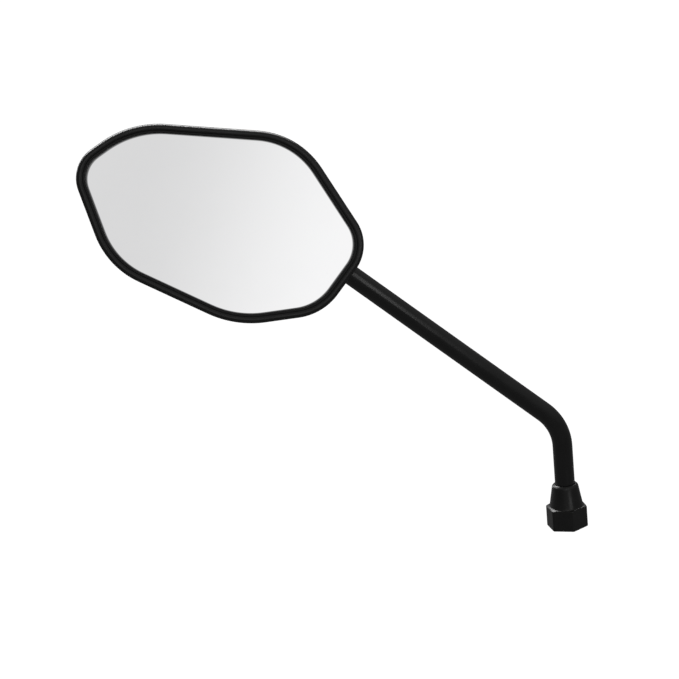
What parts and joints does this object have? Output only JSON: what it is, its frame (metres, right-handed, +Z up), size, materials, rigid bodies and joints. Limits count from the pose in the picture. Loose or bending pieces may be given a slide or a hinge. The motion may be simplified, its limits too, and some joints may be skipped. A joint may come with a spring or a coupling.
{
  "type": "motorcycle mirror",
  "caption": "Left-hand handlebar mirror: six-sided convex glass in a moulded housing on a ball joint, carried by a bent steel bar with a threaded stud, lock nut and rubber boot.",
  "frame": {"origin": "on the stud's axis, at the lock nut's seat face", "axes": "+Z up along the stud and the bar's lower leg, +X away from the head, the glass faces -Y and leans back 20 degrees"},
  "size_m": [0.243, 0.0568, 0.2288],
  "materials": {
    "bar_paint": "semi-gloss black powder coat",
    "zinc_steel": "zinc plated",
    "black_steel": "black oxide",
    "boot_rubber": "satin moulded rubber",
    "nylon": "natural nylon",
    "housing_plastic": "fine grained black ABS, satin",
    "plate_plastic": "plain black moulded",
    "foam": "closed-cell foam tape",
    "mirror_glass": "silvered convex glass with a ground edge",
    "gasket_rubber": "matt packing"
  },
  "bodies": {
    "stem": {"rod": "bar_paint", "ball": "zinc_steel", "lock_nut": "black_steel"},
    "boot": {"boot": "boot_rubber"},
    "rear_cup": {"rear_cup": "nylon"},
    "front_cup": {"front_cup": "nylon"},
    "head": {"housing": "housing_plastic", "clamp_plate": "zinc_steel", "clamp_springs": "zinc_steel", "clamp_washers": "zinc_steel", "clamp_screws": "zinc_steel", "backing_plate": "plate_plastic", "adhesive_pad": "foam", "glass": "mirror_glass", "gasket": "gasket_rubber"}
  },
  "joints": [
    {"name": "boot_slide", "type": "slide", "parent": "stem", "child": "boot", "axis": [0, 0, 1], "range_m": [0, 0.019]},
    {"name": "head_tilt", "type": "hinge", "parent": "stem", "child": "rear_cup", "pos_m": [-0.12942, 0, 0.16349], "axis": [1, 0, 0], "range_deg": [-12, 12]},
    {"name": "head_swing", "type": "hinge", "parent": "rear_cup", "child": "front_cup", "pos_m": [-0.12942, 0, 0.16349], "axis": [0, 0.342, 0.9397], "range_deg": [-12, 12]},
    {"name": "head_turn", "type": "hinge", "parent": "front_cup", "child": "head", "pos_m": [-0.12942, 0, 0.16349], "axis": [0, -0.9397, 0.342], "range_deg": [-8, 8]}
  ]
}
